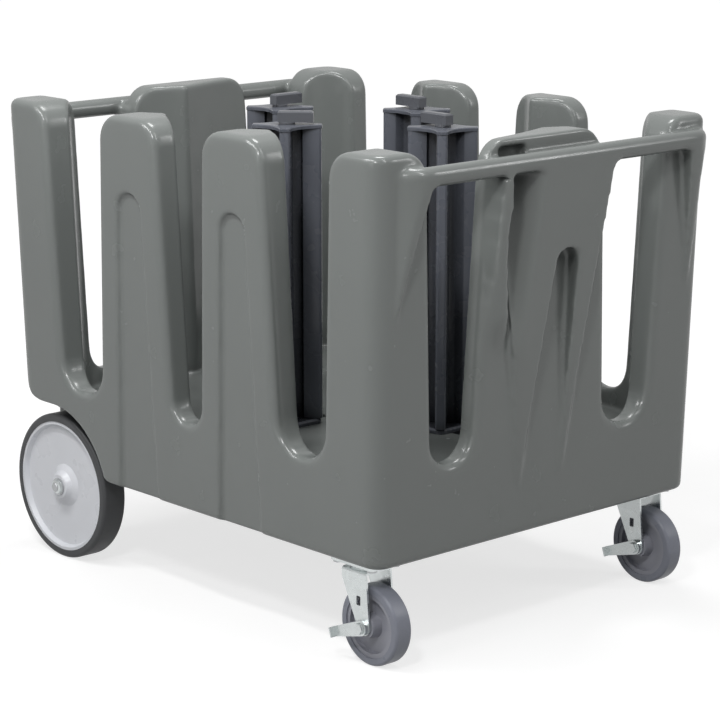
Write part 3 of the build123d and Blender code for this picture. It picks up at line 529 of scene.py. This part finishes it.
def eased(co):
    """The far corner web eases back to the wall towards the corner."""
    turn = 1 if co.x > 0 else -1
    x, y, z = abs(co.x), co.y * turn, co.z
    wall = wall_x(z)
    if y < EASE_START or z > EASE_TOP or x < wall:
        return co
    share = step(EASE_START, EASE_END, y) * min(1.0, (EASE_TOP - z) / EASE_FADE) * EASE_SHARE
    return Vector((turn * (x + (wall - x) * share), co.y, z))


def rounded_toe(co):
    """The body's lower corners at the wheel end, rounded as seen from the side."""
    out = -co.x - (TOE_END - TOE_RADIUS)
    down = (TOE_FOOT + TOE_RADIUS) - co.z
    if out <= 0 or not 0 < down < TOE_REACH or abs(co.y) < TOE_INNER_Y:
        return co
    reach = math.hypot(out, down)
    if reach <= TOE_RADIUS:
        return co
    shrink = TOE_RADIUS / reach
    return Vector((-(TOE_END - TOE_RADIUS) - out * shrink, co.y, TOE_FOOT + TOE_RADIUS - down * shrink))


def body_copy():
    """The CAD body's mesh with its grooves filled, as even voxels."""
    piece = bpy.data.objects.new("body_skin", NODES["body_moulding"].data.copy())
    bpy.context.scene.collection.objects.link(piece)
    mesh = bmesh.new()
    mesh.from_mesh(piece.data)
    fill_groove(mesh)
    bmesh.ops.recalc_face_normals(mesh, faces=mesh.faces)
    mesh.to_mesh(piece.data)
    mesh.free()
    remesh = piece.modifiers.new("voxels", "REMESH")
    remesh.mode = "VOXEL"
    remesh.voxel_size = VOXEL
    bake(piece)
    return piece


def soft_body(material):
    """The body with the rounded creases of a rotational moulding, widest under the handles."""
    piece = body_copy()
    group = piece.vertex_groups.new(name="webs")
    for vertex in piece.data.vertices:
        vertex.co = rounded_toe(finger_valley(eased(vertex.co)))
        x, _, z = vertex.co
        share = min((abs(x) - WEB_FROM_X) / WEB_FADE_X, (z - WEB_LOW) / WEB_FADE_LOW,
                    (WEB_HIGH - z) / WEB_FADE_HIGH)
        if share > 0:
            group.add([vertex.index], min(1.0, share), "REPLACE")
    smooth(piece, BODY_PASSES)
    smooth(piece, WEB_PASSES, group.name)
    bake(piece)
    piece.data.materials.clear()
    piece.data.materials.append(material)
    piece.data.shade_smooth()
    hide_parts("body_moulding")
    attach(piece, "chassis")


# ------------------------------------------------------------------ tower columns
ARM_ANGLES = (45, 135, 225, 315)
ARM_TIP = [(0.053, 0.0085), (0.056, 0.006)]            # along the arm, and to its side
NARROW_SIDE = [(0.0095, 0.0012), (0.023, 0.0012), (0.0255, 0.009), *ARM_TIP]
WIDE_SIDE = [(0.011, 0.0025), (0.022, 0.0035), (0.035, 0.009), *ARM_TIP]
COLUMN_EDGE, COLUMN_EDGE_STEPS, COLUMN_EDGE_PROFILE = 0.0012, 2, 0.6
COLUMN_CREASE = math.radians(38)
SLIDES_ALONG_X = {"near": False, "far": False, "rear": True, "front": True}


def column_outline(slides_along_x):
    """Four lobed arms, with a narrow channel on one side of each and a wide one on the other."""
    points = []
    for index, degrees in enumerate(ARM_ANGLES):
        angle = math.radians(degrees)
        along = Vector((math.cos(angle), math.sin(angle)))
        side = Vector((-along.y, along.x))
        narrow_first = (index % 2 == 1) == slides_along_x
        first, last = (NARROW_SIDE, WIDE_SIDE) if narrow_first else (WIDE_SIDE, NARROW_SIDE)
        points += [along * a - side * b for a, b in first]
        points += [along * a + side * b for a, b in reversed(last)]
    return points


def prism(name, outline, low, high):
    """An upright prism with softened edges."""
    mesh = bmesh.new()
    face = mesh.faces.new([mesh.verts.new((x, y, low)) for x, y in outline])
    roof = bmesh.ops.extrude_face_region(mesh, geom=[face])
    for vertex in [v for v in roof["geom"] if isinstance(v, bmesh.types.BMVert)]:
        vertex.co.z = high
    bmesh.ops.recalc_face_normals(mesh, faces=mesh.faces)
    bmesh.ops.bevel(mesh, geom=mesh.edges, offset=COLUMN_EDGE, segments=COLUMN_EDGE_STEPS,
                    profile=COLUMN_EDGE_PROFILE, affect="EDGES")
    data = bpy.data.meshes.new(name)
    mesh.to_mesh(data)
    mesh.free()
    data.shade_smooth()
    data.set_sharp_from_angle(angle=COLUMN_CREASE)
    piece = bpy.data.objects.new(name, data)
    bpy.context.scene.collection.objects.link(piece)
    return piece


def tower_columns(material):
    """Each tower's column with its lobes and channels, in the CAD column's place."""
    for tower, slides_along_x in SLIDES_ALONG_X.items():
        node = f"tower_column_{tower}"
        low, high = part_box(node)
        middle = (low + high) / 2
        outline = [(p.x + middle.x, p.y + middle.y) for p in column_outline(slides_along_x)]
        piece = prism(f"lobed_column_{tower}", outline, low.z, high.z)
        piece.data.materials.append(material)
        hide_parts(node)
        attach(piece, f"tower_{tower}")


make_camera()
make_stage()
body_plastic, tower_plastic = dress()
soft_body(body_plastic)
tower_columns(tower_plastic)
